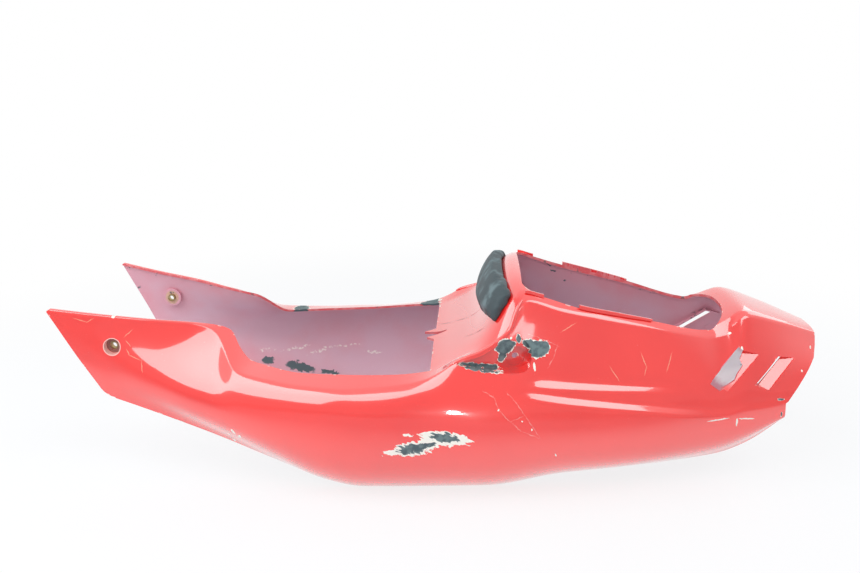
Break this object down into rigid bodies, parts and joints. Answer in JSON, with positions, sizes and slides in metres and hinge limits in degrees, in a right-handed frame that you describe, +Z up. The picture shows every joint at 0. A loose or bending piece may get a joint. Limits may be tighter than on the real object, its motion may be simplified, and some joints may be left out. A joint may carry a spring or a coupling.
{
  "type": "motorcycle rear fairing",
  "caption": "Motorcycle tail fairing: thin moulded shell with two front wings, seat cut-out, padded hump, rear opening and side scoops, in chipped red paint.",
  "frame": {"origin": "middle of the base of the part's box, on the surface it rests on", "axes": "+X towards the tail, +Y towards the vehicle's right side, +Z up"},
  "size_m": [0.907, 0.3418, 0.2507],
  "materials": {
    "painted_shell": "gloss red paint over white primer on dark grey plastic, chipped and scratched",
    "foam_pad": "black closed-cell foam",
    "zinc": "yellow passivated zinc"
  },
  "bodies": {
    "root": {"tail_shell": "painted_shell", "backrest_pad": "foam_pad", "front_mount_bush_left": "zinc", "front_mount_bush_right": "zinc"}
  },
  "joints": []
}
